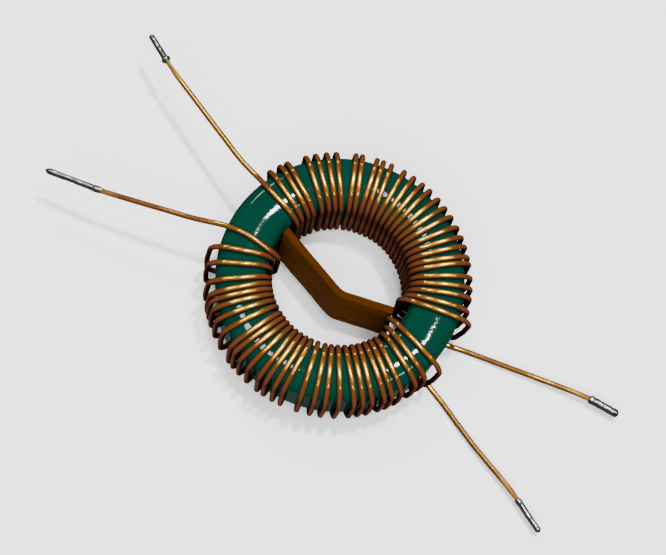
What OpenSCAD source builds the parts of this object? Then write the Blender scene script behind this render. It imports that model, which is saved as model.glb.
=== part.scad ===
// Toroidal common-mode choke: a coated ferrite ring with two hand-laid windings of
// enamelled copper wire, a bent fibre strip that keeps them apart, and four tinned leads.
// The ring's axis is Z and the turns' undersides lie on z = 0. The bare gaps between the
// windings face -X, where the leads come over the top, and +X, where they leave below.

/* [Core] */
// Outside diameter of the ferrite ring
ferrite_od = 25; // [22:0.5:30]
// Diameter of the ferrite ring's bore
ferrite_bore_d = 15.5; // [14.5:0.5:18]
// Height of the ferrite ring
ferrite_h = 7.4; // [5:0.2:12]
// Radius on the edges of the ferrite ring
ferrite_edge = 0.7; // [0.3:0.1:1.4]
// Thickness of the epoxy coat
coat = 0.2; // [0.1:0.05:0.5]

/* [Wire] */
// Diameter of the enamelled wire
wire_d = 0.56; // [0.4:0.02:0.58]
// Space between a turn and the coat that it lies on
lay_gap = 0.03; // [0.02:0.01:0.1]
// How much the wire swells where it is bent, on its diameter
swell = 0.02; // [0.01:0.01:0.03]

/* [Windings] */
// Turns in each winding
turns = 29; // [8:1:29]
// Angle from the first gap's middle to the first pass of winding A through the bore
first_pass_a = 19; // [16:0.5:30]
// Angle from the first gap's middle to the first pass of winding B
first_pass_b = 16.5; // [14:0.5:30]
// Angle from the second gap's middle to the last pass of winding A
last_pass_a = 12.5; // [8:0.5:30]
// Angle from the second gap's middle to the last pass of winding B
last_pass_b = 8.5; // [8:0.5:30]
// How far winding A's turns stand off the top of the rim, at its start and at its end
slack_a = [0.15, 0.3]; // [0:0.05:0.6]
// How far winding B's turns stand off the top of the rim, at its start and at its end
slack_b = [0.3, 0.3]; // [0:0.05:0.6]
// How far winding A's turns stand off the foot of the rim, at its start and at its end
foot_slack_a = [0.05, 0.1]; // [0:0.05:1]
// How far winding B's turns stand off the foot of the rim, at its start and at its end
foot_slack_b = [0.8, 0.1]; // [0:0.05:1]
// How far each turn's outer strand bulges at its middle
strand_bow = 0.2; // [0:0.05:0.4]
// How far the loose turn at the end of a winding stands off besides
end_loop = 0.6; // [0:0.1:1.2]
// The same for the first turn of winding B
first_loop = 0.1; // [0:0.1:1.2]
// How far winding A's first pass stands off the bore, and its last
bore_slack_a = [0.1, 0]; // [0:0.05:0.7]
// How far winding B's first pass stands off the bore, and its last
bore_slack_b = [0.65, 0.1]; // [0:0.05:0.7]

/* [Leads] */
// Reach of the leads beyond the ring's rim
lead_reach = 20; // [12:0.5:30]
// Sag of the upper leads over their length
lead_sag = 1.9; // [0:0.1:4]
// Rise of the lower leads over their length
lead_rise = 0.9; // [0:0.1:3]
// Length of the tinned end of winding A's upper lead
tin_l_a_in = 4.4; // [3:0.2:8]
// Length of the tinned end of winding A's lower lead
tin_l_a_out = 3.2; // [3:0.2:8]
// Length of the tinned end of winding B's upper lead
tin_l_b_in = 6; // [3:0.2:8]
// Length of the tinned end of winding B's lower lead
tin_l_b_out = 4.6; // [3:0.2:8]
// Diameter of a thinly tinned end
tin_d = 0.7; // [0.64:0.02:1]
// Diameter of the heavily tinned end, which is winding A's lower one
tin_d_heavy = 0.88; // [0.7:0.02:1.2]

/* [Divider] */
// Thickness of the fibre strip
strip_t = 0.8; // [0.4:0.1:1]
// Width of the fibre strip, which stands on edge in the bore
strip_w = 7; // [4:0.5:8]
// Radius of the strip's bend, at its middle
strip_bend_r = 2; // [1:0.25:4]
// How far the strip leans from upright, towards winding A
strip_lean = 6; // [0:1:8]
// Length of the strip's free leg, from its bend
strip_free_leg = 5; // [3:0.1:5.4]

/* [Hidden] */
$fn = 32;

// clearances: ferrite to coat, wire to solder, and strip to bore
bond = 0.01;
skin = 0.01;
strip_fit = 0.04;

// the coated ring
coat_r = ferrite_od / 2 + bond + coat;
bore_r = ferrite_bore_d / 2 - bond - coat;
coat_h = ferrite_h + 2 * (bond + coat);
coat_edge = ferrite_edge + bond + coat;
base_z = wire_d + lay_gap;
mid_z = base_z + coat_h / 2;

// the wire's centre line, where it lies on each face of the ring
off = wire_d / 2 + lay_gap;
rim_r = coat_r + off;
pass_r = bore_r - off;
top_z = base_z + coat_h + off;
under_z = base_z - off;
bend_r = coat_edge + off;
// the most that a straight runs into a bend, where it is still inside the swollen wire
bend_lap = 0.08;

// Each winding is laid by hand, so its turns are unevenly spaced: the steps, in degrees, from
// each pass through the bore to the next, and from each turn to the next round the rim. They
// are stretched to fill the winding.
pass_steps_a = [5, 6, 4.8, 7, 6, 5, 4.8, 6, 4.8, 5, 4.8, 4.8, 4.8, 4.8, 4.8, 4.8, 4.8, 4.8, 4.8,
    5, 5, 5, 4.8, 4.8, 5.6, 4.8, 5, 5, 4.8];
pass_steps_b = [1.7, 8, 8, 4.8, 4.8, 4.8, 4.8, 5, 6, 4.8, 4.8, 4.8, 5, 4.8, 4.8, 4.8, 5.5, 6, 5,
    5, 5.5, 5.5, 5, 5, 5, 5, 7, 6, 7.5];
rim_steps_a = [5.5, 3.5, 9, 4.5, 5, 4.5, 9, 3, 7, 3, 4, 6.5, 5, 5, 4.5, 5.5, 5, 5, 5.5, 5, 4.5, 5,
    3, 6.5, 5, 4.5, 6, 5];
rim_steps_b = [7.5, 8.5, 5.5, 3, 3.5, 5, 6, 7, 3, 4, 5, 6, 3.5, 4.5, 4, 8, 6, 5, 6, 6.5, 4, 4, 5.5,
    3.5, 4.5, 7, 5, 7];
// where the first turn rounds the rim, and the last
rim_a = [23.5, 167.5];
rim_b = [20.5, 168.5];
// how much further round the foot of the first turn's outer strand is than its top, and the last's
lean_a = [2, 0];
lean_b = [2, -2.6];
// how much further round the foot of the first pass is than its top
pass_lean_a = 0;
pass_lean_b = -4;
// how far a loose pass stands off the bore at its foot, as a share of how far its top does
pass_foot_share = 0.6;
// how far the loose turn at an end of a winding stands off at its foot, as a share of how far
// its top does
loop_foot_share = 0.3;

// Each lead's bends, from the winding outwards: [angle, share of the reach beyond the rim,
// share of the sag or rise]. The last is its tip.
in_bends_a = [[16.6, 0.14, 0], [19.1, 0.78, 0.65], [20.2, 1, 1]];
out_bends_a = [[171.3, 0.02, 0], [170.4, 0.1, 0], [169.5, 0.8, 0.65], [170.4, 0.97, 1]];
in_bends_b = [[10.1, -0.12, 0], [9.9, -0.01, 0], [11.7, 0.14, 0], [12.9, 0.66, 0.65], [12.4, 0.96, 1]];
out_bends_b = [[168.4, 0.04, 0], [167.3, 0.15, 0], [164.6, 0.44, 0.33], [163.9, 0.74, 0.65],
    [162.7, 0.98, 1]];

// how much the fibre swells on each face at its bend, and how far the legs run into it
strip_swell = 0.01;
strip_lap = 0.08;
// the strip's bend and the angles of its legs
strip_bend = [0.9, -1.75];
seated_leg_angle = 18;
free_leg_angle = 16;

function unit(v) = v / norm(v);
function last(list) = list[len(list) - 1];
function total(list, n) = n <= 0 ? 0 : list[(n - 1) % len(list)] + total(list, n - 1);

// A point at angle t from the first gap, on winding A's side of the ring or, with side = -1,
// on winding B's.
function place(side, t, r, z) = [-r * cos(t), side * r * sin(t), z];
function pass_angle(ends, steps, k) = ends[0] + (ends[1] - ends[0]) * total(steps, k) / total(steps, turns);
function rim_angle(rim, steps, k) = rim[0] + (rim[1] - rim[0]) * total(steps, k) / total(steps, turns - 1);
function stand_off(slack, loops, k) =
    let (share = k / (turns - 1)) slack[0] * pow(1 - share, 2) + slack[1] * pow(share, 2)
    + (k == 0 ? loops[0] : 0) + (k == turns - 1 ? loops[1] : 0);

function foot_angle(rim, steps, lean, k) =
    rim_angle(rim, steps, k) + (k == 0 ? lean[0] : 0) + (k == turns - 1 ? lean[1] : 0);

// the first pass stands off the bore, and the last three
function bore_off(slack, k) = (k == 0 ? slack[0] : 0) + slack[1] * max(0, 1 - (turns - k) / 3);

// One pass: down the bore.
function pass(side, angle, lean, off_bore) = [
    place(side, angle, pass_r - off_bore, top_z),
    place(side, angle + lean, pass_r - off_bore * pass_foot_share, under_z),
];
// The rest of a turn: out under the ring and up round the rim.
function round_rim(side, foot, rim, off_foot, off_top) = [
    place(side, foot, rim_r + off_foot, under_z),
    place(side, (foot + rim) / 2, rim_r + (off_foot + off_top) / 2 + strand_bow, mid_z),
    place(side, rim, rim_r + off_top, top_z),
];
function in_lead(side, bends) = [for (i = [len(bends) - 1 : -1 : 0])
    place(side, bends[i][0], coat_r + bends[i][1] * lead_reach, top_z - bends[i][2] * lead_sag)];
function out_lead(side, bends) = [for (b = bends)
    place(side, b[0], coat_r + b[1] * lead_reach, under_z + b[2] * lead_rise)];

// The corners of a winding's whole wire, from the tip of its upper lead to that of its lower one.
function wire_points(side, ends, pass_steps, pass_lean, bore_slack, rim, rim_steps, lean, slack,
    foot_slack, loops, in_bends, out_bends) = [
    each in_lead(side, in_bends),
    for (k = [0 : turns]) each [
        each pass(side, pass_angle(ends, pass_steps, k), k == 0 ? pass_lean : 0, bore_off(bore_slack, k)),
        if (k < turns) each round_rim(side, foot_angle(rim, rim_steps, lean, k),
            rim_angle(rim, rim_steps, k), stand_off(foot_slack, loops * loop_foot_share, k),
            stand_off(slack, loops, k)),
    ],
    each out_lead(side, out_bends),
];

wire_a = wire_points(1, [first_pass_a, 180 - last_pass_a], pass_steps_a, pass_lean_a, bore_slack_a,
    rim_a, rim_steps_a, lean_a, slack_a, foot_slack_a, [0, end_loop], in_bends_a, out_bends_a);
wire_b = wire_points(-1, [first_pass_b, 180 - last_pass_b], pass_steps_b, pass_lean_b, bore_slack_b,
    rim_b, rim_steps_b, lean_b, slack_b, foot_slack_b, [first_loop, end_loop], in_bends_b,
    out_bends_b);

// Its children, with their Z axis along z and their X axis along x.
module on_axes(origin, x, z) {
    y = cross(z, x);
    multmatrix([
        [x[0], y[0], z[0], origin[0]],
        [x[1], y[1], z[1], origin[1]],
        [x[2], y[2], z[2], origin[2]],
        [0, 0, 0, 1],
    ]) children();
}

function turn_angle(a, corner, b) = acos(unit(corner - a) * unit(b - corner));
// how much of each straight a bend takes up
function bend_length(a, corner, b) = bend_r * tan(turn_angle(a, corner, b) / 2);
// how far from a corner a straight starts: it runs a little way into the swollen bend
function straight_start(a, corner, b) =
    let (length = bend_length(a, corner, b)) length - min(bend_lap, length / 3);
function bend_axis(a, corner, b) = unit(cross(corner - a, b - corner));

module bend(a, corner, b) {
    along = unit(corner - a);
    axis = bend_axis(a, corner, b);
    outward = cross(along, axis);
    start = corner - bend_length(a, corner, b) * along;
    on_axes(start - bend_r * outward, outward, axis)
        rotate_extrude(angle = turn_angle(a, corner, b)) translate([bend_r, 0]) circle(d = wire_d + swell);
}

// Round wire through the points of a list, with a bend at each corner.
module bent_wire(points) {
    n = len(points);
    for (i = [0 : n - 2]) {
        along = unit(points[i + 1] - points[i]);
        from = i == 0 ? 0 : straight_start(points[i - 1], points[i], points[i + 1]);
        to = i == n - 2 ? 0 : straight_start(points[i], points[i + 1], points[i + 2]);
        k = max(i, 1);
        side = bend_axis(points[k - 1], points[k], points[k + 1]);
        on_axes(points[i] + from * along, side, along)
            cylinder(h = norm(points[i + 1] - points[i]) - from - to, d = wire_d);
    }
    for (i = [1 : n - 2]) bend(points[i - 1], points[i], points[i + 1]);
}

// The section of a ring with rounded edges, from r1 to r2 and h high, standing on z = 0.
module ring_section(r1, r2, h, edge) {
    translate([r1 + edge, 0]) square([r2 - r1 - 2 * edge, h]);
    translate([r1, edge]) square([r2 - r1, h - 2 * edge]);
    for (r = [r1 + edge, r2 - edge], z = [edge, h - edge]) translate([r, z]) circle(r = edge);
}

module ring(r1, r2, h, edge) rotate_extrude($fn = 96) ring_section(r1, r2, h, edge);

module ferrite_core() {
    color("dimgray") translate([0, 0, mid_z - ferrite_h / 2])
        ring(ferrite_bore_d / 2, ferrite_od / 2, ferrite_h, ferrite_edge);
}

module core_coating() {
    color("darkgreen") difference() {
        translate([0, 0, base_z]) ring(bore_r, coat_r, coat_h, coat_edge);
        translate([0, 0, base_z + coat])
            ring(bore_r + coat, coat_r - coat, coat_h - 2 * coat, coat_edge - coat);
    }
}

module winding_a() {
    color("peru") bent_wire(wire_a);
}

module winding_b() {
    color("peru") bent_wire(wire_b);
}

// The strip stands on edge in the bore and leans a little: its seated leg runs to the bore's
// wall in the first gap, and its free leg ends just short of the last turns.
module divider() {
    color("saddlebrown") intersection() {
        translate([strip_bend[0], strip_bend[1], mid_z]) rotate([-strip_lean, 0, 0])
            translate([0, strip_bend_r, -strip_w / 2]) {
                rotate(270 - seated_leg_angle) rotate_extrude(angle = seated_leg_angle + free_leg_angle)
                    translate([strip_bend_r - strip_t / 2 - strip_swell, -strip_swell])
                        square([strip_t + 2 * strip_swell, strip_w + 2 * strip_swell]);
                rotate(-seated_leg_angle) translate([-2 * bore_r, -strip_bend_r - strip_t / 2])
                    cube([2 * bore_r + strip_lap, strip_t, strip_w]);
                rotate(free_leg_angle) translate([-strip_lap, -strip_bend_r - strip_t / 2])
                    cube([strip_free_leg + strip_lap, strip_t, strip_w]);
            }
        cylinder(r = bore_r - strip_fit, h = top_z);
    }
}

// A sleeve of solder round the end of a lead, closed and rounded at the tip.
module tinned_end(before, tip, length, d) {
    along = unit(tip - before);
    side = unit(cross(along, [0, 0, 1]));
    color("silver") on_axes(tip - length * along, side, along) difference() {
        union() {
            cylinder(h = length, d = d);
            translate([0, 0, length]) sphere(d = d);
        }
        translate([0, 0, -1]) cylinder(h = length + 1, d = wire_d + 2 * skin);
    }
}

module tinned_end_a_in() tinned_end(wire_a[1], wire_a[0], tin_l_a_in, tin_d);
module tinned_end_a_out() tinned_end(wire_a[len(wire_a) - 2], last(wire_a), tin_l_a_out, tin_d_heavy);
module tinned_end_b_in() tinned_end(wire_b[1], wire_b[0], tin_l_b_in, tin_d);
module tinned_end_b_out() tinned_end(wire_b[len(wire_b) - 2], last(wire_b), tin_l_b_out, tin_d);

ferrite_core();
core_coating();
winding_a();
winding_b();
divider();
tinned_end_a_in();
tinned_end_a_out();
tinned_end_b_in();
tinned_end_b_out();
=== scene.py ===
"""Dresses the solids of a toroidal common-mode choke: its epoxy coat, its two windings of
enamelled copper wire, the fibre strip between them and the solder on its four leads. Lengths are
in metres."""

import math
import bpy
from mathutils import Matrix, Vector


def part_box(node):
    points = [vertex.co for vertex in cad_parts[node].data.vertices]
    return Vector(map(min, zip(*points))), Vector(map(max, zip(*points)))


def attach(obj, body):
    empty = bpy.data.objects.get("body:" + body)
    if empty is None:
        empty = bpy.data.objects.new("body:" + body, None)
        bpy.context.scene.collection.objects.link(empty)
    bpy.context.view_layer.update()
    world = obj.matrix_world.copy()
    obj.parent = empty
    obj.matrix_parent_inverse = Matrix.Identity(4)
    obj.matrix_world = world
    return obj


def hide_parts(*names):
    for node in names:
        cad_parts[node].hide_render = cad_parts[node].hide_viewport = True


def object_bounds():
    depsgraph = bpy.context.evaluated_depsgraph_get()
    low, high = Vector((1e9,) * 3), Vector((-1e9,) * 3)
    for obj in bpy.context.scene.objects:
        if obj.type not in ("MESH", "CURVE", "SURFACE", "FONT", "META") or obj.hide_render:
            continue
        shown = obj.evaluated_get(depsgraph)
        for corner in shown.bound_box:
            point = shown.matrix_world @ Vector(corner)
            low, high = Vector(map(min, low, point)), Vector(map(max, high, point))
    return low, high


bl_info = {
    "name": "Toroidal choke",
    "version": (1, 0, 0),
    "blender": (4, 5, 0),
    "location": "View3D > Sidebar > Choke",
    "description": "Coats, winds, divides and tins a toroidal choke on its solids",
    "category": "Object",
}

import bpy
from mathutils import Matrix, Vector, noise

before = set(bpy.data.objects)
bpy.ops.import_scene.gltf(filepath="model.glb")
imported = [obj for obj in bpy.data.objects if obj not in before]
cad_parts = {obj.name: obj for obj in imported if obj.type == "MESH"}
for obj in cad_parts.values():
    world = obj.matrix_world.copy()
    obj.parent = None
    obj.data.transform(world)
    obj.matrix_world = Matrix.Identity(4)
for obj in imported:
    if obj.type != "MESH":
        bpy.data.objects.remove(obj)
SOLIDS_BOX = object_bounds()
COAT_LOW, COAT_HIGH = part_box("core_coating")
COAT_LEVEL = (COAT_LOW.z + COAT_HIGH.z) / 2
MM = 0.001


# --- node trees -----------------------------------------------------------------------------


class Socket:
    """A node's output, on which Python's operators add Math nodes."""

    def __init__(self, tree, socket):
        self.tree, self.socket = tree, socket

    def maths(self, operation, *values, **settings):
        return self.tree.add("ShaderNodeMath", dict(enumerate(values)), operation=operation,
                             **settings)

    def __add__(self, other):
        return self.maths("ADD", self, other)

    def __radd__(self, other):
        return self.maths("ADD", other, self)

    def __sub__(self, other):
        return self.maths("SUBTRACT", self, other)

    def __rsub__(self, other):
        return self.maths("SUBTRACT", other, self)

    def __mul__(self, other):
        return self.maths("MULTIPLY", self, other)

    def __rmul__(self, other):
        return self.maths("MULTIPLY", other, self)

    def __truediv__(self, other):
        return self.maths("DIVIDE", self, other)

    def __rtruediv__(self, other):
        return self.maths("DIVIDE", other, self)

    def __pow__(self, other):
        return self.maths("POWER", self, other)

    def __rpow__(self, other):
        return self.maths("POWER", other, self)

    def __neg__(self):
        return self.maths("MULTIPLY", self, -1.0)

    def clamped(self):
        return self.maths("ADD", self, 0.0, use_clamp=True)


class Tree:
    """A node tree that is written as expressions."""

    def __init__(self, tree):
        self.tree = tree

    def add(self, kind, values=None, out=0, **settings):
        """Adds a node: its settings first, then the values or links of its sockets."""
        node = self.tree.nodes.new(kind)
        for name, value in settings.items():
            setattr(node, name, value)
        for key, value in (values or {}).items():
            target = node.inputs[key]
            if isinstance(value, Socket):
                self.tree.links.new(value.socket, target)
            else:
                target.default_value = value
        self.node = node
        return Socket(self, node.outputs[out]) if len(node.outputs) else None

    def place(self):
        """Where a point of a piece is, in metres."""
        return self.add("ShaderNodeTexCoord", out="Object")

    def noise(self, vector, scale, detail, roughness=0.5):
        return self.add("ShaderNodeTexNoise", {
            "Vector": vector, "Scale": scale, "Detail": detail, "Roughness": roughness})

    def parts(self, vector):
        """The three numbers of a vector."""
        self.add("ShaderNodeSeparateXYZ", {"Vector": vector})
        return [Socket(self, self.node.outputs[k]) for k in range(3)]

    def vector(self, x, y, z):
        return self.add("ShaderNodeCombineXYZ", {"X": x, "Y": y, "Z": z})

    def named(self, name):
        """The value of a piece's attribute."""
        return self.add("ShaderNodeAttribute", out="Fac", attribute_name=name)

    def mixed(self, factor, colour_a, colour_b):
        return self.add("ShaderNodeMix", {"Factor": factor, 6: colour_a, 7: colour_b}, 2,
                        data_type="RGBA")


def surface(name, shade):
    """A material: shade(tree) gives the Principled sockets' values, "Bump" as (height, distance),
    and "Shine" as the share and the values of a second shader that is mixed in."""
    material = bpy.data.materials.new(name)
    material.use_nodes = True
    material.node_tree.nodes.clear()
    tree = Tree(material.node_tree)
    values = shade(tree)
    bump = values.pop("Bump", None)
    if bump:
        values["Normal"] = tree.add("ShaderNodeBump", {
            "Height": bump[0], "Distance": bump[1], "Strength": 1.0})
    share, shine = values.pop("Shine", (0, None))
    shader = tree.add("ShaderNodeBsdfPrincipled", values)
    if shine:
        if bump:
            shine["Normal"] = values["Normal"]
        shader = tree.add("ShaderNodeMixShader", {
            0: share, 1: shader, 2: tree.add("ShaderNodeBsdfPrincipled", shine)})
    tree.add("ShaderNodeOutputMaterial", {"Surface": shader})
    return material


def rgba(colour, share=1.0):
    """A colour for a socket, darker or lighter by a share."""
    return (*(share * c for c in colour), 1.0)


# --- finishes -------------------------------------------------------------------------------


def epoxy_finish(colour):
    def shade(tree):
        place = tree.place()
        tone = tree.noise(place, 260, 3)
        peel = tree.noise(place, 700, 2)
        swell = tree.noise(place, 220, 1)
        specks = tree.noise(place, 2600, 2)
        return {
            "Base Color": tree.mixed(tone, rgba(colour, 0.72), rgba(colour, 1.18)),
            "Roughness": 0.03 + 0.04 * specks,
            "IOR": 1.3,
            "Specular IOR Level": 0.12,
            "Bump": (0.25 * swell + 0.2 * peel + 0.03 * specks, 0.00006),
        }

    return surface("green epoxy coat", shade)


def enamel_finish(copper, painted_side_shading, painted_valley_shade, gilt, burnt):
    def shade(tree):
        place = tree.place()
        bare, crest, upward = tree.named("burnt"), tree.named("crest"), tree.named("upward")
        tone = tree.noise(place, 420, 3)
        smear = tree.noise(place, 900, 3)
        # painted shade: where the wire faces its neighbours or the coat it gets the painted valley
        # shade, elsewhere the painted side shading
        outside = tree.mixed((crest * 1.3 - 0.25).clamped() ** 1.5, rgba(painted_valley_shade), rgba(painted_side_shading))
        # past the ring, the leads get painted shade that dims their highlight, apart from winding
        # A's first one, at -X and +Y
        x, y, _ = tree.parts(place)
        beyond = (((x * x + y * y) ** 0.5 - COAT_HIGH.x - 1.5 * MM) / (3 * MM)).clamped()
        first_lead = (x * -200.0).clamped() * (y * 200.0).clamped()
        dull = beyond * (1.0 - first_lead)
        # painted light: the share of the copper colour, high on faces that look up and lower past
        # the ring; the rest is painted shade
        painted_lit_share = (upward * 1.4 - 0.3).clamped() * (1.0 - 0.4 * dull)
        # this worn colour is painted light and shade with a random tone, not wear
        worn = tree.mixed(painted_lit_share * (0.75 + 0.5 * tone), outside, rgba(copper))
        return {
            "Base Color": tree.mixed(bare, worn, rgba(burnt)),
            "Roughness": 0.5,
            "IOR": 1.05,
            # the wire is drawn, so its shine spreads across it, which is round the ring's axis
            # painted reflection: the shine's colour is full only on the upward faces and fades to
            # the painted valley shade elsewhere, and its grazing tint is that painted shade too
            "Shine": (0.2, {"Base Color": tree.mixed(painted_lit_share ** 2, rgba(painted_valley_shade), rgba(gilt)),
                            "Metallic": 1.0, "Anisotropic": 1.0, "Specular Tint": rgba(painted_valley_shade),
                            "Roughness": 0.2 + 0.05 * smear + 0.2 * bare}),
            "Bump": (smear, 0.00001),
        }

    return surface("enamelled copper", shade)


def fibre_finish(colour, grain):
    def shade(tree):
        along = tree.add("ShaderNodeUVMap", uv_map="strip")
        stretched = tree.add("ShaderNodeMapping", {"Vector": along, "Scale": (110.0, 1500.0, 1.0)})
        fine = tree.add("ShaderNodeMapping", {"Vector": along, "Scale": (500.0, 4200.0, 1.0)})
        streaks = tree.noise(stretched, 1.0, 4, 0.62)
        hairs = tree.noise(fine, 1.0, 3, 0.6)
        blotch = tree.noise(tree.place(), 320, 3)
        light = (1.6 * streaks + 0.9 * hairs + 0.35 * blotch - 0.95).clamped()
        # the cut edges, the upper one that faces the lamps among them, are painted darker than the
        # faces: painted shade
        light = light * (1.0 - 0.75 * tree.named("cut"))
        return {
            "Base Color": tree.mixed(light, rgba(colour), rgba(grain)),
            "Roughness": 0.9 - 0.2 * streaks,
            "Specular IOR Level": 0.03,
            "Bump": (streaks + 0.4 * hairs, 0.00009),
        }

    return surface("vulcanised fibre", shade)


def solder_finish(colour):
    def shade(tree):
        place = tree.place()
        frost = tree.noise(place, 2400, 3, 0.6)
        pool = tree.noise(place, 800, 2)
        return {
            "Base Color": tree.mixed((pool * 1.8 - 0.3).clamped(), rgba(colour, 0.3), rgba(colour)),
            "Metallic": 1.0,
            "Roughness": 0.16 + 0.3 * frost,
            "Bump": (frost + 2.0 * pool, 0.00006),
        }

    return surface("dull solder", shade)


def ferrite_finish(colour):
    def shade(tree):
        grain = tree.noise(tree.place(), 3000, 3)
        return {
            "Base Color": tree.mixed(grain, rgba(colour, 0.6), rgba(colour)),
            "Roughness": 0.55 + 0.2 * grain,
            "Bump": (grain, 0.00002),
        }

    return surface("sintered ferrite", shade)


def floor_finish(colour):
    def shade(tree):
        tone = tree.noise(tree.place(), 40, 3)
        return {
            "Base Color": tree.mixed(tone, rgba(colour, 0.985), rgba(colour)),
            "Roughness": 0.75,
            "Specular IOR Level": 0.2,
        }

    return surface("pale floor", shade)


# --- settings -------------------------------------------------------------------------------


def length(name, description, default):
    return bpy.props.FloatProperty(name=name, description=description, default=default,
                                   subtype="DISTANCE", unit="LENGTH", precision=5)


def lengths(name, description, millimetres):
    return bpy.props.FloatVectorProperty(name=name, description=description, precision=5,
                                         default=[MM * value for value in millimetres],
                                         size=len(millimetres), unit="LENGTH")


def angle(name, description, degrees):
    return bpy.props.FloatProperty(name=name, description=description,
                                   default=math.radians(degrees), subtype="ANGLE", unit="ROTATION")


def angles(name, description, degrees):
    return bpy.props.FloatVectorProperty(name=name, description=description,
                                         default=[math.radians(value) for value in degrees],
                                         size=len(degrees), unit="ROTATION")


def power(name, description, watts):
    return bpy.props.FloatProperty(name=name, description=description, default=watts,
                                   subtype="POWER", unit="POWER")


def colour(name, description, default):
    return bpy.props.FloatVectorProperty(name=name, description=description, default=default,
                                         subtype="COLOR", size=3, min=0, max=1)


class CoatSettings(bpy.types.PropertyGroup):
    outside: length("Outside radius", "Radius of the coated ring", (COAT_HIGH.x - COAT_LOW.x) / 2)
    bore: length("Bore radius", "Radius of the hole through the coated ring", 7.54 * MM)
    edge: length("Edge radius", "Radius on the coated ring's edges", 0.91 * MM)
    camber: length("Camber", "How far the upper face rises at its crest", 0.42 * MM)
    camber_radius: length("Camber radius", "Radius of the upper face's camber", 11.1 * MM)
    crest: lengths("Crest", "The crest's radius, and how far it moves outwards at +X and at +Y",
                   (10.62, -0.15, 0))
    ripple: length("Ripple", "How far the coat swells and thins over the ring", 0.03 * MM)
    green: colour("Coat", "Colour of the epoxy coat", (0.0, 0.026, 0.016))
    ferrite: colour("Ferrite", "Colour of the ferrite ring inside", (0.05, 0.05, 0.055))


class WindingSettings(bpy.types.PropertyGroup):
    wire: length("Wire", "Diameter of the enamelled wire", 0.58 * MM)
    lay: length("Lay", "Height of a turn's middle above the coat under it", 0.31 * MM)
    turns: bpy.props.IntProperty(name="Turns", description="Turns in each winding", default=29,
                                 min=8, max=29)
    bend: length("Bend radius", "Radius of the wire's bends at the bore", 1.22 * MM)
    rim_bend: length("Rim bend", "Radius of the wire's bends at the rim", 1.5 * MM)
    ease: length("Ease", "Radius of the wire's slight bends", 18 * MM)
    passes_a: angles("Passes A", "Winding A's first and last pass, from each gap's middle",
                     (19, 12.5))
    passes_b: angles("Passes B", "Winding B's first and last pass, from each gap's middle",
                     (16.5, 8.5))
    slack_a: lengths("Slack A", "Winding A's stand-off from the rim's top, at its start and end",
                     (0.15, 0.3))
    slack_b: lengths("Slack B", "Winding B's stand-off from the rim's top, at its start and end",
                     (0.3, 0.3))
    foot_slack_a: lengths("Foot slack A", "Winding A's stand-off from the rim's foot", (0.05, 0.1))
    foot_slack_b: lengths("Foot slack B", "Winding B's stand-off from the rim's foot", (0.8, 0.1))
    bow: length("Bow", "How far each outer strand bulges at its middle", 0.2 * MM)
    end_loop: length("End loop", "How far the last turn stands off besides", 0.6 * MM)
    arch: length("Arch", "How far the strands on the upper face rise at their crest", 0.46 * MM)
    arch_radius: length("Arch radius", "Radius of those strands' arch", 16.3 * MM)
    crest: lengths("Crest", "The arches' crest, and how far it moves outwards at +X and at +Y",
                   (10.85, -0.5, 0.47))
    sway: length("Sway", "How far a hand-laid strand strays from its line", 0.03 * MM)
    # the copper colour goes on the upward faces of the turns; the side shading and valley shade
    # below are painted on their other faces
    copper: colour("Copper", "Colour of copper seen through its enamel", (0.072, 0.022, 0.006))
    # painted light and shade: a copper of its own for the turns' upright sides, set for how light
    # falls on them
    painted_side_shading: colour("Shaded copper", "Colour of the turns' upright sides", (0.11, 0.036, 0.016))
    # painted shade: the wire's colour where it faces its neighbours or the coat
    painted_valley_shade: colour("Valley", "Colour of the wire next to its neighbours", (0.012, 0.002, 0.001))
    gilt: colour("Gilt", "Colour of the metal's shine through the enamel", (1.0, 0.62, 0.06))
    burnt: colour("Burnt enamel", "Colour of the enamel by the solder", (0.12, 0.05, 0.015))
    burn: length("Burn", "How far past the solder's box the enamel is burnt", 0.3 * MM)


class StripSettings(bpy.types.PropertyGroup):
    thickness: length("Thickness", "Thickness of the fibre strip", 0.8 * MM)
    width: length("Width", "Width of the strip, which stands on edge", 7.0 * MM)
    bend: length("Bend radius", "Radius of the strip's bend at its middle", 2.0 * MM)
    lean: angle("Lean", "How far the strip leans from upright", 6)
    seated_leg: length("Seated leg", "Length of the leg that ends in the first gap", 8.6 * MM)
    free_leg: length("Free leg", "Length of the leg that ends in the second gap", 5.0 * MM)
    seated_turn: angle("Seated leg's turn", "How far the seated leg turns from the X axis", 18)
    free_turn: angle("Free leg's turn", "How far the free leg turns from the X axis", 16)
    place: lengths("Place", "Where the bend's middle is, from the ring's axis", (0.9, -1.75))
    room: length("Room", "Room between the strip's ends and the bore's wall", 0.04 * MM)
    bevel: length("Bevel", "How far the strip's edges are worn", 0.12 * MM)
    rough: length("Roughness", "How uneven the strip's faces are", 0.02 * MM)
    fray: length("Fray", "How uneven the strip's cut edges are", 0.03 * MM)
    fibre: colour("Fibre", "Colour of the fibre's dark streaks", (0.028, 0.007, 0.0004))
    grain: colour("Grain", "Colour of the fibre's light streaks", (0.125, 0.042, 0.002))


class SolderSettings(bpy.types.PropertyGroup):
    thin: length("Thin end", "Diameter of a thinly tinned end", 0.66 * MM)
    heavy: length("Heavy end", "Diameter of the thickly tinned end", 0.86 * MM)
    lump: length("Lumps", "How far the solder's lumps stand out", 0.05 * MM)
    overhang: length("Overhang", "How far the solder stands past the wire's tip", 0.3 * MM)
    grey: colour("Solder", "Colour of the solder", (0.42, 0.43, 0.39))


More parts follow.
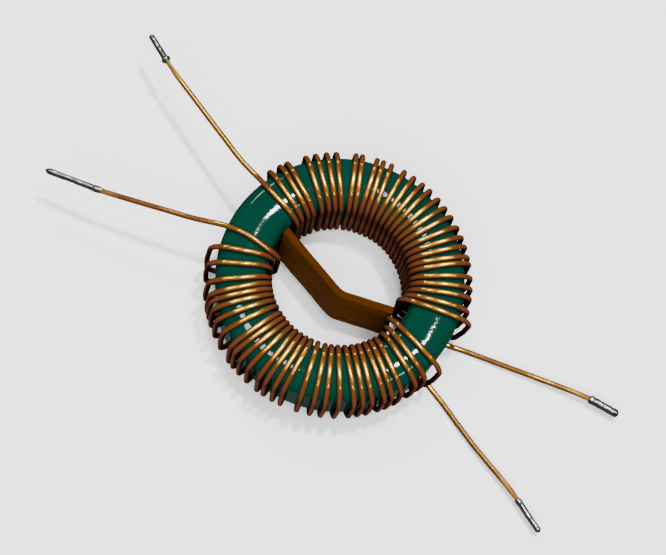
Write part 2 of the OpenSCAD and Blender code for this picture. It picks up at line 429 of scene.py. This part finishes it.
class StageSettings(bpy.types.PropertyGroup):
    floor: colour("Floor", "Colour of the floor", (0.93, 0.93, 0.93))
    sky: bpy.props.FloatProperty(name="Surroundings", description="Brightness of the surroundings",
                                 default=0.12, subtype="FACTOR", min=0, max=1)
    key: power("Key light", "Power of the main lamp", 2.5)
    fill: power("Fill light", "Power of the wide lamp overhead", 6.0)
    azimuth: angle("Azimuth", "The camera's angle round the ring, from -Y towards +X", 14.455)
    elevation: angle("Elevation", "The camera's angle above the floor", 75.232)
    roll: angle("Roll", "How far the camera turns about its own axis", 18.554)
    distance: length("Distance", "From the ring's middle to the camera", 160 * MM)
    lens: bpy.props.FloatProperty(name="Lens", description="The camera's focal length, in mm",
                                  default=81.56324, subtype="DISTANCE_CAMERA", unit="CAMERA")
    shift: bpy.props.FloatVectorProperty(name="Shift", description="The lens's shift, in widths",
                                         default=(-0.0031712, 0.0258724), size=2, precision=5,
                                         subtype="XYZ")


# --- the windings' rule ---------------------------------------------------------------------

# Winding A's rule is under 1 and winding B's under -1, which are their sides of the ring. Angles
# are in degrees from the first gap's middle, and lengths in mm.

# the steps from each pass through the bore to the next, and from each turn to the next at the rim
PASS_STEPS = {
    1: [5, 6, 4.8, 7, 6, 5, 4.8, 6, 4.8, 5, 4.8, 4.8, 4.8, 4.8, 4.8, 4.8, 4.8, 4.8, 4.8,
        5, 5, 5, 4.8, 4.8, 5.6, 4.8, 5, 5, 4.8],
    -1: [1.7, 8, 8, 4.8, 4.8, 4.8, 4.8, 5, 6, 4.8, 4.8, 4.8, 5, 4.8, 4.8, 4.8, 5.5, 6, 5,
         5, 5.5, 5.5, 5, 5, 5, 5, 7, 6, 7.5],
}
RIM_STEPS = {
    1: [5.5, 3.5, 9, 4.5, 5, 4.5, 9, 3, 7, 3, 4, 6.5, 5, 5, 4.5, 5.5, 5, 5, 5.5, 5, 4.5, 5,
        3, 6.5, 5, 4.5, 6, 5],
    -1: [7.5, 8.5, 5.5, 3, 3.5, 5, 6, 7, 3, 4, 5, 6, 3.5, 4.5, 4, 8, 6, 5, 6, 6.5, 4, 4, 5.5,
         3.5, 4.5, 7, 5, 7],
}
# where the first and the last turn round the rim, and how much further round their feet are
RIM_ENDS = {1: (23.5, 167.5), -1: (20.5, 168.5)}
FOOT_LEAN = {1: (2, 0), -1: (2, -2.6)}
# how much further round the first pass's foot is than its top
PASS_LEAN = {1: 0, -1: -4}
# how far the first and the last pass stand off the bore's wall at the top, over how many passes
# that fades, and how much of it is left at the foot
BORE_SLACK = {1: (0.1, 0.95), -1: (0.65, 0.9)}
LOOSE_PASSES = 3
PASS_FOOT_SHARE = 0.6
# how far the first turn stands off the rim besides, and how much of such a loop is at its foot
FIRST_LOOP = {1: 0.0, -1: 0.1}
LOOP_FOOT_SHARE = 0.3
LEAD_REACH, LEAD_SAG, LEAD_RISE = 20.0, 1.9, 0.9
# each lead's bends from the winding outwards: angle, share of the reach, share of the sag or rise
IN_BENDS = {
    1: [(16.6, 0.14, 0), (19.1, 0.78, 0.65), (20.2, 1, 1)],
    -1: [(10.1, -0.12, 0), (9.9, -0.01, 0), (11.7, 0.14, 0), (12.9, 0.66, 0.65), (12.4, 0.96, 1)],
}
OUT_BENDS = {
    1: [(171.3, 0.02, 0), (170.4, 0.1, 0), (169.5, 0.8, 1), (170.4, 0.97, 1)],
    -1: [(168.4, 0.04, 0), (167.3, 0.15, 0), (164.6, 0.44, 0.45), (163.9, 0.74, 0.95),
         (162.7, 0.98, 1)],
}
# a path's points: the longest step on a straight, the degrees of a bend's step, the turn under
# which a bend is slight, in radians, and the share of a straight that a bend may take
PATH_STEP, TURN_STEP, SLIGHT_TURN, BEND_SHARE = 0.45, 9, 0.35, 0.42
# Blender seeds its vector noise from the clock unless it is given a seed
SWAY_SEED = 1
# past the ring, the arch and the camber fade from this far out and over this length
FADE_START, FADE_LENGTH = 0.5 * MM, 3 * MM


def at(side, degrees, radius, height):
    """A point at an angle from the first gap, on a winding's side of the ring."""
    t = math.radians(degrees)
    return Vector((-radius * math.cos(t), side * radius * math.sin(t), height))


def spaced(ends, steps, k, count):
    """The k-th of the angles that the first count steps make when stretched between two ends."""
    return ends[0] + (ends[1] - ends[0]) * sum(steps[:k]) / sum(steps[:count])


def stand_off(slack, share):
    """How far a turn stands off, in mm, at a share of the way from the first turn to the last."""
    return slack[0] / MM * (1 - share) ** 2 + slack[1] / MM * share ** 2


def corners(side, ring, winding):
    """The corners of a winding's whole wire, in mm."""
    outside, bore, off = ring.outside / MM, ring.bore / MM, winding.lay / MM
    top, under = COAT_HIGH.z / MM + off, COAT_LOW.z / MM - off
    rim, inner = outside + off, bore - off
    turns = winding.turns
    ends = [math.degrees(value) for value in (winding.passes_a if side == 1 else winding.passes_b)]
    top_slack, foot_slack = ((winding.slack_a, winding.foot_slack_a) if side == 1 else
                             (winding.slack_b, winding.foot_slack_b))
    points = [at(side, t, outside + share * LEAD_REACH, top - sag * LEAD_SAG)
              for t, share, sag in reversed(IN_BENDS[side])]
    for k in range(turns + 1):
        t = spaced((ends[0], 180 - ends[1]), PASS_STEPS[side], k, turns)
        first, last = BORE_SLACK[side]
        loose = first * (k == 0) + last * max(0, 1 - (turns - k) / LOOSE_PASSES) ** 2
        points += [at(side, t, inner - loose, top),
                   at(side, t + PASS_LEAN[side] * (k == 0), inner - PASS_FOOT_SHARE * loose, under)]
        if k < turns:
            share = k / (turns - 1)
            loop = FIRST_LOOP[side] * (k == 0) + winding.end_loop / MM * (k == turns - 1)
            off_top = stand_off(top_slack, share) + loop
            off_foot = stand_off(foot_slack, share) + LOOP_FOOT_SHARE * loop
            t = spaced(RIM_ENDS[side], RIM_STEPS[side], k, turns - 1)
            foot = t + FOOT_LEAN[side][0] * (k == 0) + FOOT_LEAN[side][1] * (k == turns - 1)
            points += [at(side, foot, rim + off_foot, under),
                       at(side, (foot + t) / 2, rim + (off_top + off_foot) / 2 + winding.bow / MM,
                          (top + under) / 2),
                       at(side, t, rim + off_top, top)]
    points += [at(side, t, outside + share * LEAD_REACH, under + rise * LEAD_RISE)
               for t, share, rise in OUT_BENDS[side]]
    return points


def rounded(points, radii, ease):
    """The points of a path that rounds each corner, slight ones with a wide radius."""
    path = []
    radii, cut = list(radii), [0.0] * len(points)
    for i in range(1, len(points) - 1):
        before, after = points[i] - points[i - 1], points[i + 1] - points[i]
        turn = before.angle(after)
        room = min(before.length, after.length) * BEND_SHARE
        if turn < SLIGHT_TURN:
            radii[i] = max(radii[i], min(ease, room / math.tan(turn / 2)))
        cut[i] = radii[i] * math.tan(turn / 2)
    for i in range(len(points) - 1):
        along = points[i + 1] - points[i]
        run, along = along.length, along.normalized()
        start, stop = cut[i], run - cut[i + 1]
        n = max(1, math.ceil((stop - start) / PATH_STEP))
        path += [points[i] + along * (start + (stop - start) * k / n) for k in range(n + 1)]
        if i + 2 < len(points):
            turn = along.angle(points[i + 2] - points[i + 1])
            outward = along.cross(along.cross(points[i + 2] - points[i + 1])).normalized()
            arm = radii[i + 1]
            centre = path[-1] - arm * outward
            n = max(2, math.ceil(math.degrees(turn) / TURN_STEP))
            for k in range(1, n):
                a = turn * k / n
                path.append(centre + arm * (outward * math.cos(a) + along * math.sin(a)))
    return path


def cambered(p, rise, radius, crest):
    """How far the ring's upper face, or a strand on it, rises at a point. Off the ring it fades."""
    out = p.xy.length
    fade = max(0.0, 1 - max(0.0, out - COAT_HIGH.x - FADE_START) / FADE_LENGTH)
    peak = crest[0] + (crest[1] * p.x + crest[2] * p.y) / out
    up = (2 * p.z - COAT_LOW.z - COAT_HIGH.z) / (COAT_HIGH.z - COAT_LOW.z)
    rise -= (min(out, COAT_HIGH.x) - peak) ** 2 / (2 * radius)
    return fade * rise * max(0.0, min(1.0, up))


def hand_laid(path, side, winding):
    """A path in metres, from one in mm, whose strands arch over the ring and stray a little."""
    noise.seed_set(SWAY_SEED)
    laid = []
    for p in path:
        stray = noise.noise_vector(p * 0.35 + Vector((side * 7, 3, 0))) * winding.sway
        p = p * MM
        rise = cambered(p, winding.arch, winding.arch_radius, winding.crest)
        laid.append(p + Vector((0, 0, rise)) + stray)
    return laid


def laid_wire(side, ring, winding):
    """The middle line of a winding's whole wire, from tip to tip."""
    points = corners(side, ring, winding)
    middle = (ring.outside + ring.bore) / 2 / MM
    radii = [(winding.rim_bend if p.xy.length > middle else winding.bend) / MM for p in points]
    return hand_laid(rounded(points, radii, winding.ease / MM), side, winding)


# --- making meshes --------------------------------------------------------------------------

# the coat's steps round the ring, round each edge, across its top and bottom and up its walls
COAT_STEPS, EDGE_STEPS, FACE_STEPS, WALL_STEPS = 288, 8, 14, 10
# the strip's steps along its seated leg, bend and free leg, and up each face
SEATED_STEPS, BEND_STEPS, FREE_STEPS, STRIP_ROWS = 40, 12, 24, 24


def linked(name, data):
    """A new object in the scene."""
    piece = bpy.data.objects.new(name, data)
    bpy.context.scene.collection.objects.link(piece)
    return piece


def modelled(name, points, faces, smooth=True):
    """A mesh from its points and faces."""
    mesh = bpy.data.meshes.new(name)
    mesh.from_pydata(points, [], faces)
    mesh.polygons.foreach_set("use_smooth", [smooth] * len(mesh.polygons))
    mesh.update()
    return linked(name, mesh)


def lined(name, points):
    """A poly curve through the points."""
    curve = bpy.data.curves.new(name, "CURVE")
    curve.dimensions = "3D"
    spline = curve.splines.new("POLY")
    spline.points.add(len(points) - 1)
    spline.points.foreach_set("co", [c for p in points for c in (*p, 1.0)])
    return linked(name, curve)


def through_nodes(name, source, tree, values):
    """Runs a curve through a Geometry Nodes tree and keeps the result as a plain mesh."""
    modifier = source.modifiers.new("shape", "NODES")
    modifier.node_group = tree
    sockets = {item.name: item.identifier for item in tree.interface.items_tree
               if item.in_out == "INPUT"}
    for key, value in values.items():
        modifier[sockets[key]] = value
    bpy.context.view_layer.update()
    graph = bpy.context.evaluated_depsgraph_get()
    piece = linked(name, bpy.data.meshes.new_from_object(source.evaluated_get(graph)))
    source.modifiers.remove(modifier)
    bpy.data.objects.remove(source)
    return piece


def new_tree(name, inputs):
    """An empty Geometry Nodes tree with a Geometry input and output, and named inputs besides."""
    group = bpy.data.node_groups.new(name, "GeometryNodeTree")
    group.interface.new_socket("Geometry", in_out="INPUT", socket_type="NodeSocketGeometry")
    for label, (kind, default) in inputs.items():
        socket = group.interface.new_socket(label, in_out="INPUT", socket_type="NodeSocket" + kind)
        if default is not None:
            socket.default_value = default
    group.interface.new_socket("Geometry", in_out="OUTPUT", socket_type="NodeSocketGeometry")
    tree = Tree(group)
    tree.add("NodeGroupInput")
    given = {socket.name: Socket(tree, socket) for socket in tree.node.outputs if socket.name}
    return group, tree, given


def finish_tree(tree, geometry, material):
    """Ends a tree: shades it smooth, makes its instances real and sets its material.
    Ends a tree, as the export needs it.
    """
    geometry = tree.add("GeometryNodeSetShadeSmooth", {"Geometry": geometry})
    geometry = tree.add("GeometryNodeRealizeInstances", {"Geometry": geometry})
    geometry = tree.add("GeometryNodeSetMaterial", {"Geometry": geometry, "Material": material})
    tree.add("NodeGroupOutput", {"Geometry": geometry})


def marked(tree, geometry, name, value):
    """Geometry with a number stored at its points."""
    return tree.add("GeometryNodeStoreNamedAttribute", {
        "Geometry": geometry, "Name": name, "Value": value}, data_type="FLOAT", domain="POINT")


def wire_tree():
    """Round wire along a curve: its enamel is burnt by the solder, and inside that it is bare."""
    group, tree, given = new_tree("wire along a path", {
        "Diameter": ("Float", 0.58 * MM),
        "Sides": ("Int", 18),
        "Burnt start": ("Float", 0.0),
        "Burnt end": ("Float", 0.0),
        "Burnt fade": ("Float", 1.2 * MM),
        "Bare depth": ("Float", 1.0 * MM),
        "Bare fade": ("Float", 0.2 * MM),
        "Bare share": ("Float", 0.75),
        "Middle": ("Float", 10.1 * MM),
        "Level": ("Float", 4.5 * MM),
        "Material": ("Material", None),
    })
    length_here = tree.add("GeometryNodeSplineParameter", out="Length")
    whole = tree.add("GeometryNodeSplineLength", out="Length")
    at_start = given["Burnt start"] - length_here
    at_end = given["Burnt end"] - (whole - length_here)
    depth = at_start.maths("MAXIMUM", at_start, at_end)
    bare = ((depth - given["Bare depth"]) / given["Bare fade"]).clamped()
    curve = marked(tree, given["Geometry"], "burnt", (depth / given["Burnt fade"] + 1.0).clamped())
    ring = tree.add("GeometryNodeCurvePrimitiveCircle", {
        "Resolution": given["Sides"], "Radius": given["Diameter"] / 2.0}, mode="RADIUS")
    wire = tree.add("GeometryNodeCurveToMesh", {
        "Curve": curve, "Profile Curve": ring, "Fill Caps": True,
        "Scale": 1.0 - (1.0 - given["Bare share"]) * bare})
    # how far each point faces away from the middle of the ring's section, and upwards: the masks by
    # which the enamel paints light and shade on the wire
    x, y, z = tree.parts(tree.add("GeometryNodeInputPosition"))
    reach = (x * x + y * y) ** 0.5
    inwards = 1.0 - given["Middle"] / reach
    from_middle = tree.vector(x * inwards, y * inwards, z - given["Level"])
    away = tree.add("ShaderNodeVectorMath", {0: from_middle}, operation="NORMALIZE")
    normal = tree.add("GeometryNodeInputNormal")
    facing = tree.add("ShaderNodeVectorMath", {0: away, 1: normal}, "Value",
                      operation="DOT_PRODUCT")
    upward = tree.parts(normal)[2]
    wire = marked(tree, wire, "crest", facing.maths("MAXIMUM", facing, upward).clamped())
    wire = marked(tree, wire, "upward", upward.clamped())
    finish_tree(tree, wire, given["Material"])
    return group


def solder_tree():
    """A sleeve of solder along a curve: lumpy, with a rounded tip and a bead where it starts."""
    group, tree, given = new_tree("solder along a lead", {
        "Diameter": ("Float", 0.7 * MM),
        "Wire": ("Float", 0.58 * MM),
        "Lumps": ("Float", 0.05 * MM),
        "Lump size": ("Float", 900.0),
        "Bead": ("Float", 0.0),
        "Seed": ("Float", 0.0),
        "Steps": ("Int", 70),
        "Sides": ("Int", 24),
        "Material": ("Material", None),
    })

    def lumps(scale):
        """How far the surface stands out or in."""
        noise_here = tree.add("ShaderNodeTexNoise", {
            "Vector": tree.add("GeometryNodeInputPosition"), "W": given["Seed"], "Scale": scale,
            "Detail": 2.0}, noise_dimensions="4D")
        return (noise_here - 0.5) * given["Lumps"] * 2.0

    curve = tree.add("GeometryNodeResampleCurve", {
        "Curve": given["Geometry"], "Count": given["Steps"]})
    share = tree.add("GeometryNodeSplineParameter", out="Factor")
    body = given["Diameter"] / 2.0 + lumps(given["Lump size"])
    start = given["Wire"] / 2.0 * 0.9
    bead = given["Bead"] * math.e ** -(((share - 0.1) / 0.06) ** 2.0)
    neck = (share / 0.05).clamped() ** 0.5
    tip = ((1.0 - share) / 0.07).clamped() ** 0.5
    radius = (start + (body + bead - start) * neck) * tip
    curve = tree.add("GeometryNodeSetCurveRadius", {"Curve": curve, "Radius": radius / MM})
    ring = tree.add("GeometryNodeCurvePrimitiveCircle", {
        "Resolution": given["Sides"], "Radius": MM}, mode="RADIUS")
    sleeve = tree.add("GeometryNodeCurveToMesh", {
        "Curve": curve, "Profile Curve": ring, "Fill Caps": True,
        "Scale": tree.add("GeometryNodeInputRadius")})
    push = tree.add("ShaderNodeVectorMath", {
        0: tree.add("GeometryNodeInputNormal"), "Scale": lumps(given["Lump size"] * 1.7)},
        operation="SCALE")
    sleeve = tree.add("GeometryNodeSetPosition", {"Geometry": sleeve, "Offset": push})
    finish_tree(tree, sleeve, given["Material"])
    return group


def coat_section(ring):
    """The coated ring's section, as radius and height, from its outer top corner over the top."""
    low, high = COAT_LOW.z, COAT_HIGH.z
    middle = (ring.outside + ring.bore) / 2
    section = []
    for corner, (r, z) in enumerate(((ring.outside, high), (ring.bore, high), (ring.bore, low),
                                     (ring.outside, low))):
        centre_r = r - math.copysign(ring.edge, r - middle)
        centre_z = z - math.copysign(ring.edge, z - (low + high) / 2)
        for k in range(EDGE_STEPS + 1):
            a = math.radians(90 * corner + 90 * k / EDGE_STEPS)
            section.append((centre_r + ring.edge * math.cos(a), centre_z + ring.edge * math.sin(a)))
        if corner in (0, 2):
            across = 2 * (middle - centre_r)
            section += [(centre_r + across * k / FACE_STEPS, z) for k in range(1, FACE_STEPS)]
        else:
            down = low + high - 2 * centre_z
            section += [(r, centre_z + down * k / WALL_STEPS) for k in range(1, WALL_STEPS)]
    return section


def strip_line(strip):
    """The strip's middle line in plan, from the seated leg's end round the bend to the free end.
    The bend is at the origin."""

    def leg(turn, along):
        return Vector((strip.bend * math.sin(turn) + along * math.cos(turn),
                       -strip.bend * math.cos(turn) + along * math.sin(turn)))

    seated, free = -strip.seated_turn, strip.free_turn
    line = [leg(seated, -strip.seated_leg * (1 - k / SEATED_STEPS))
            for k in range(SEATED_STEPS + 1)]
    line += [leg(seated + (free - seated) * k / BEND_STEPS, 0) for k in range(1, BEND_STEPS + 1)]
    line += [leg(free, strip.free_leg * k / FREE_STEPS) for k in range(1, FREE_STEPS + 1)]
    return [p + Vector((0, strip.bend)) for p in line]


def strip_profile(strip):
    """The strip's section, as places across its thickness and its width."""
    h, w, bevel = strip.width / 2, strip.thickness / 2, strip.bevel
    worn = 0.3 * bevel
    face = [(-w, -h + bevel + 2 * (h - bevel) * k / STRIP_ROWS) for k in range(STRIP_ROWS + 1)]
    edge = [(-w + worn, h - worn), (-w + bevel, h), (0, h), (w - bevel, h), (w - worn, h - worn)]
    half = face + edge
    return half + [(-a, -z) for a, z in half]


# --- operators ------------------------------------------------------------------------------


class CHOKE_OT_coat_ring(bpy.types.Operator):
    """Coats the ferrite ring with epoxy, crowned between its rounded edges"""

    bl_idname = "choke.coat_ring"
    bl_label = "Coat the ring"

    def execute(self, context):
        ring = context.scene.choke_coat
        middle = (ring.outside + ring.bore) / 2
        section = coat_section(ring)
        points, faces = [], []
        n = len(section)
        for i in range(COAT_STEPS):
            turn = math.tau * i / COAT_STEPS
            a, b = i * n, (i + 1) % COAT_STEPS * n
            for k, (r, z) in enumerate(section):
                p = Vector((r * math.cos(turn), r * math.sin(turn), z))
                p.z += cambered(p, ring.camber, ring.camber_radius, ring.crest)
                ripple = noise.noise(p * 260) * ring.ripple
                outward = Vector((math.cos(turn) * (r - middle), math.sin(turn) * (r - middle),
                                  z - COAT_LEVEL))
                points.append(p + outward.normalized() * ripple)
                faces.append((a + k, b + k, b + (k + 1) % n, a + (k + 1) % n))
        coat = modelled("coat", points, faces)
        coat.data.materials.append(epoxy_finish(ring.green))
        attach(coat, "root")
        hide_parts("core_coating")
        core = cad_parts["ferrite_core"]
        core.data.materials.clear()
        core.data.materials.append(ferrite_finish(ring.ferrite))
        return {"FINISHED"}


class CHOKE_OT_lay_windings(bpy.types.Operator):
    """Lays the two windings by hand, each one wire from one lead's tip to the other's"""

    bl_idname = "choke.lay_windings"
    bl_label = "Lay the windings"

    def execute(self, context):
        ring, winding = context.scene.choke_coat, context.scene.choke_winding
        enamel = enamel_finish(winding.copper, winding.painted_side_shading, winding.painted_valley_shade, winding.gilt,
                               winding.burnt)
        tree = wire_tree()
        for side, name in ((1, "winding_a"), (-1, "winding_b")):
            source = lined(name + "_path", laid_wire(side, ring, winding))
            tinned = [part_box("tinned_end_" + name[-1] + end) for end in ("_in", "_out")]
            burnt = [(high - low).length + winding.burn for low, high in tinned]
            wire = through_nodes(name + "_wire", source, tree, {
                "Diameter": winding.wire, "Burnt start": burnt[0], "Burnt end": burnt[1],
                "Middle": (ring.outside + ring.bore) / 2, "Level": COAT_LEVEL,
                "Material": enamel})
            # the shine's grain runs round the middle of this space
            wire.data.use_auto_texspace = False
            wire.data.texspace_location = (0.0, 0.0, COAT_LEVEL)
            wire.data.texspace_size = (ring.outside, ring.outside, ring.outside)
            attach(wire, "root")
            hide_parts(name)
        return {"FINISHED"}


def tinned_line(node, wire, overhang):
    """The middle line of a tinned end: the last of a wire, given tip first, and a bit more."""
    low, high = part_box(node)
    tip = wire[0]
    along = (tip - wire[3]).normalized()
    reach = min(max(abs((corner - tip).dot(along)) for corner in (low, high)), (high - low).length)
    covered = [p for p in wire if (tip - p).length < reach]
    last, left = covered[-1], reach - (tip - covered[-1]).length
    start = last + (wire[len(covered)] - last).normalized() * left
    return [start, *reversed(covered), tip + along * overhang]


class CHOKE_OT_tin_leads(bpy.types.Operator):
    """Tins the ends of the four leads, one of them thickly"""

    bl_idname = "choke.tin_leads"
    bl_label = "Tin the leads"

    def execute(self, context):
        ring, winding = context.scene.choke_coat, context.scene.choke_winding
        solder = context.scene.choke_solder
        metal = solder_finish(solder.grey)
        tree = solder_tree()
        for number, (side, end, diameter, bead, size) in enumerate((
                (1, "in", solder.thin, 0.2, 800.0), (1, "out", solder.heavy, 0.05, 1500.0),
                (-1, "in", solder.thin, 0.06, 700.0), (-1, "out", solder.thin, 0.05, 700.0))):
            node = "tinned_end_" + ("a_" if side == 1 else "b_") + end
            wire = laid_wire(side, ring, winding)
            if end == "out":
                wire.reverse()
            source = lined(node + "_path", tinned_line(node, wire, solder.overhang))
            sleeve = through_nodes(node + "_sleeve", source, tree, {
                "Diameter": diameter, "Wire": winding.wire, "Lumps": solder.lump,
                "Lump size": size, "Bead": bead * MM, "Seed": float(number), "Material": metal})
            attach(sleeve, "root")
            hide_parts(node)
        return {"FINISHED"}


class CHOKE_OT_fit_strip(bpy.types.Operator):
    """Bends the fibre strip and stands it on edge across the hole"""

    bl_idname = "choke.fit_strip"
    bl_label = "Fit the strip"

    def execute(self, context):
        strip, ring = context.scene.choke_strip, context.scene.choke_coat
        line, profile = strip_line(strip), strip_profile(strip)
        place = Vector((*strip.place, COAT_LEVEL))
        turn = Matrix.Rotation(-strip.lean, 3, "X")
        wall = ring.bore - strip.room
        edge = strip.width / 2 - strip.bevel
        points, uvs, cuts = [], [], []
        run = 0.0
        for i, p in enumerate(line):
            before, after = line[max(i - 1, 0)], line[min(i + 1, len(line) - 1)]
            run += (p - before).length
            tangent = (after - before).normalized()
            out = Vector((-tangent.y, tangent.x))
            round_section = 0.0
            last = profile[0]
            for a, z in profile:
                rough = noise.noise(Vector((run * 900, z * 900, a * 900))) * strip.rough
                fray = noise.noise(Vector((run * 1500, a * 3000, 5.0))) * strip.fray
                flat = p + out * (a + rough)
                q = turn @ Vector((flat.x, flat.y, z + fray * (abs(z) > edge))) + place
                if q.xy.length > wall:
                    q.xy *= wall / q.xy.length
                round_section += math.hypot(a - last[0], z - last[1])
                last = (a, z)
                points.append(q)
                uvs.append((run, round_section))
                # marks the cut edges, on which the fibre's finish paints shade
                cuts.append(float(abs(z) > edge + strip.bevel / 2))
        n = len(profile)
        faces = [(a + k, a + n + k, a + n + (k + 1) % n, a + (k + 1) % n)
                 for a in range(0, len(points) - n, n) for k in range(n)]
        faces += [tuple(range(n)), tuple(reversed(range(len(points) - n, len(points))))]
        piece = modelled("fibre_strip", points, faces)
        layer = piece.data.uv_layers.new(name="strip")
        for loop in piece.data.loops:
            layer.data[loop.index].uv = uvs[loop.vertex_index]
        piece.data.attributes.new("cut", "FLOAT", "POINT").data.foreach_set("value", cuts)
        for face in piece.data.polygons:
            if len(face.vertices) > 4:
                face.use_smooth = False
        piece.data.materials.append(fibre_finish(strip.fibre, strip.grain))
        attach(piece, "root")
        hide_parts("divider")
        return {"FINISHED"}


def direction(azimuth, elevation):
    """The direction at an angle from -Y towards +X and at one above the floor."""
    return Vector((math.sin(azimuth) * math.cos(elevation),
                   -math.cos(azimuth) * math.cos(elevation), math.sin(elevation)))


# each lamp's azimuth and elevation in degrees, distance and width in m, and power as a share
LAMPS = {
    "key": (166.6, 76.7, 0.5, 0.03, 1.0),
    "second": (215.8, 79.7, 0.5, 0.05, 0.4),
    "third": (110.3, 74.1, 0.5, 0.05, 0.2),
    "fourth": (228.4, 56.8, 0.5, 0.07, 0.45),
    "fill": (20.0, 65.0, 0.6, 0.5, 1.0),
}


def lay_floor(stage):
    reach, level = 3, SOLIDS_BOX[0].z - 0.02 * MM
    floor = modelled("floor", [Vector((x, y, level)) for x, y in (
        (-reach, -reach), (reach, -reach), (reach, reach), (-reach, reach))],
        [(0, 1, 2, 3)], smooth=False)
    floor.data.materials.append(floor_finish(stage.floor))
    # the coat and the wires reflect only the small lamps
    floor.visible_glossy = False


def hang_lamps(scene, stage):
    world = bpy.data.worlds.new("surroundings")
    world.use_nodes = True
    background = world.node_tree.nodes["Background"].inputs
    background["Color"].default_value = (1.0, 1.0, 1.0, 1.0)
    background["Strength"].default_value = stage.sky
    scene.world = world
    for name, (azimuth, elevation, far, size, share) in LAMPS.items():
        wide = name == "fill"
        lamp = bpy.data.lights.new(name, "AREA")
        lamp.shape, lamp.size = "DISK", size
        lamp.energy = share * (stage.fill if wide else stage.key)
        back = direction(math.radians(azimuth), math.radians(elevation))
        hung = linked(name, lamp)
        hung.location = Vector((0, 0, COAT_LEVEL)) + back * far
        hung.rotation_euler = back.to_track_quat("Z", "Y").to_euler()
        hung.visible_glossy = not wide


def aimed_camera(stage):
    camera = bpy.data.cameras.new("camera")
    camera.lens, camera.sensor_width = stage.lens, 36
    camera.shift_x, camera.shift_y = stage.shift
    camera.clip_start = 0.005
    back = direction(stage.azimuth, stage.elevation)
    right = Vector((math.cos(stage.azimuth), math.sin(stage.azimuth), 0))
    turn = Matrix((right, back.cross(right), back)).transposed()
    turn = turn @ Matrix.Rotation(stage.roll, 3, "Z")
    view = linked("camera", camera)
    view.matrix_world = (Matrix.Translation(back * stage.distance + Vector((0, 0, COAT_LOW.z)))
                         @ turn.to_4x4())
    return view


class CHOKE_OT_set_stage(bpy.types.Operator):
    """Sets the floor, the lamps and the camera"""

    bl_idname = "choke.set_stage"
    bl_label = "Set the stage"

    def execute(self, context):
        stage = context.scene.choke_stage
        lay_floor(stage)
        hang_lamps(context.scene, stage)
        context.scene.camera = aimed_camera(stage)
        return {"FINISHED"}


class CHOKE_PT_panel(bpy.types.Panel):
    """Lists the steps that dress the choke"""

    bl_idname = "CHOKE_PT_panel"
    bl_label = "Toroidal choke"
    bl_space_type = "VIEW_3D"
    bl_region_type = "UI"
    bl_category = "Choke"

    def draw(self, context):
        scene = context.scene
        for (settings, kind), operator in zip(SETTINGS.items(), OPERATORS):
            box = self.layout.box()
            for name in kind.__annotations__:
                box.prop(getattr(scene, settings), name)
            box.operator(operator.bl_idname)


# each group of settings, and the step that it steers
SETTINGS = {"choke_coat": CoatSettings, "choke_winding": WindingSettings,
            "choke_solder": SolderSettings, "choke_strip": StripSettings,
            "choke_stage": StageSettings}
OPERATORS = [CHOKE_OT_coat_ring, CHOKE_OT_lay_windings, CHOKE_OT_tin_leads, CHOKE_OT_fit_strip,
             CHOKE_OT_set_stage]


def register():
    for kind in (*SETTINGS.values(), *OPERATORS, CHOKE_PT_panel):
        bpy.utils.register_class(kind)
    for name, kind in SETTINGS.items():
        setattr(bpy.types.Scene, name, bpy.props.PointerProperty(type=kind))


def unregister():
    for name in SETTINGS:
        delattr(bpy.types.Scene, name)
    for kind in reversed((*SETTINGS.values(), *OPERATORS, CHOKE_PT_panel)):
        bpy.utils.unregister_class(kind)


def main():
    register()
    bpy.ops.choke.coat_ring()
    bpy.ops.choke.lay_windings()
    bpy.ops.choke.tin_leads()
    bpy.ops.choke.fit_strip()
    bpy.ops.choke.set_stage()


if __name__ == "__main__":
    main()
